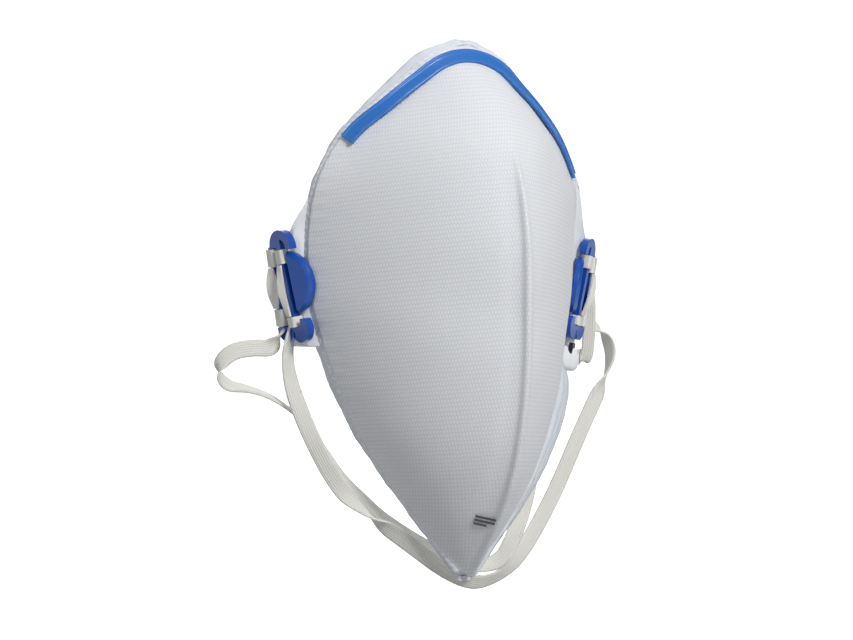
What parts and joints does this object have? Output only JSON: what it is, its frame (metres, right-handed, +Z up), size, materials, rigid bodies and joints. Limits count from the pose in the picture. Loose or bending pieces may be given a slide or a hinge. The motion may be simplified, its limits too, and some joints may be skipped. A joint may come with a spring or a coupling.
{
  "type": "disposable dust mask",
  "caption": "Leaf-shaped disposable dust mask of two welded fabric panels with a blue nose strip, a strap buckle on each cheek and two flat elastic straps.",
  "frame": {"origin": "centre of the face opening, on the line from nose to chin, midway between the cheeks", "axes": "+Y goes back into the wearer's face, so -Y is the front of the mask; +Z up towards the nose; +X to the right as seen from the front"},
  "size_m": [0.1713, 0.0778, 0.2035],
  "materials": {
    "outer_fabric": "fine waffle non-woven",
    "filter_fleece": "soft fleece",
    "lining": "smooth non-woven",
    "weld": "pressed weld",
    "flange": "soft non-woven",
    "wing": "smooth white laminate",
    "buckle_blue": "satin moulded",
    "clip_blue": "satin extruded",
    "strap": "flat elastic",
    "print": "ink",
    "crimp": "black"
  },
  "bodies": {
    "left_half": {"left_outer_shell": "outer_fabric", "left_filter_layer": "filter_fleece", "left_inner_lining": "lining", "left_edge_weld": "weld", "left_seal_flange": "flange", "left_side_wing": "wing", "left_buckle_plate": "buckle_blue", "left_buckle_frame": "buckle_blue", "left_strap_turn_upper_outer": "strap", "left_strap_turn_upper_inner": "strap", "left_strap_turn_lower_outer": "strap", "left_strap_turn_lower_inner": "strap", "left_strap_run_outer": "strap", "left_strap_run_inner": "strap", "front_weld": "outer_fabric", "nose_clip": "clip_blue", "chin_tab": "weld", "printed_bars": "print", "head_strap": "strap", "neck_strap": "strap"},
    "right_half": {"right_outer_shell": "outer_fabric", "right_filter_layer": "filter_fleece", "right_inner_lining": "lining", "right_edge_weld": "weld", "right_seal_flange": "flange", "right_side_wing": "wing", "right_buckle_plate": "buckle_blue", "right_buckle_frame": "buckle_blue", "right_strap_turn_upper_outer": "strap", "right_strap_turn_upper_inner": "strap", "right_strap_turn_lower_outer": "strap", "right_strap_turn_lower_inner": "strap", "right_strap_run_cross": "strap", "right_strap_tail": "strap", "strap_end_crimp": "crimp"}
  },
  "joints": [
    {"name": "front_fold", "type": "hinge", "parent": "left_half", "child": "right_half", "pos_m": [0, -0.038, 0], "axis": [0, 0, 1], "range_deg": [-10, 60], "stiffness_Nm_per_rad": 0.01, "deforming": ["left_outer_shell", "left_filter_layer", "left_inner_lining", "left_edge_weld", "left_seal_flange", "right_outer_shell", "right_filter_layer", "right_inner_lining", "right_edge_weld", "right_seal_flange", "front_weld", "nose_clip", "chin_tab", "printed_bars", "head_strap", "neck_strap"]}
  ]
}
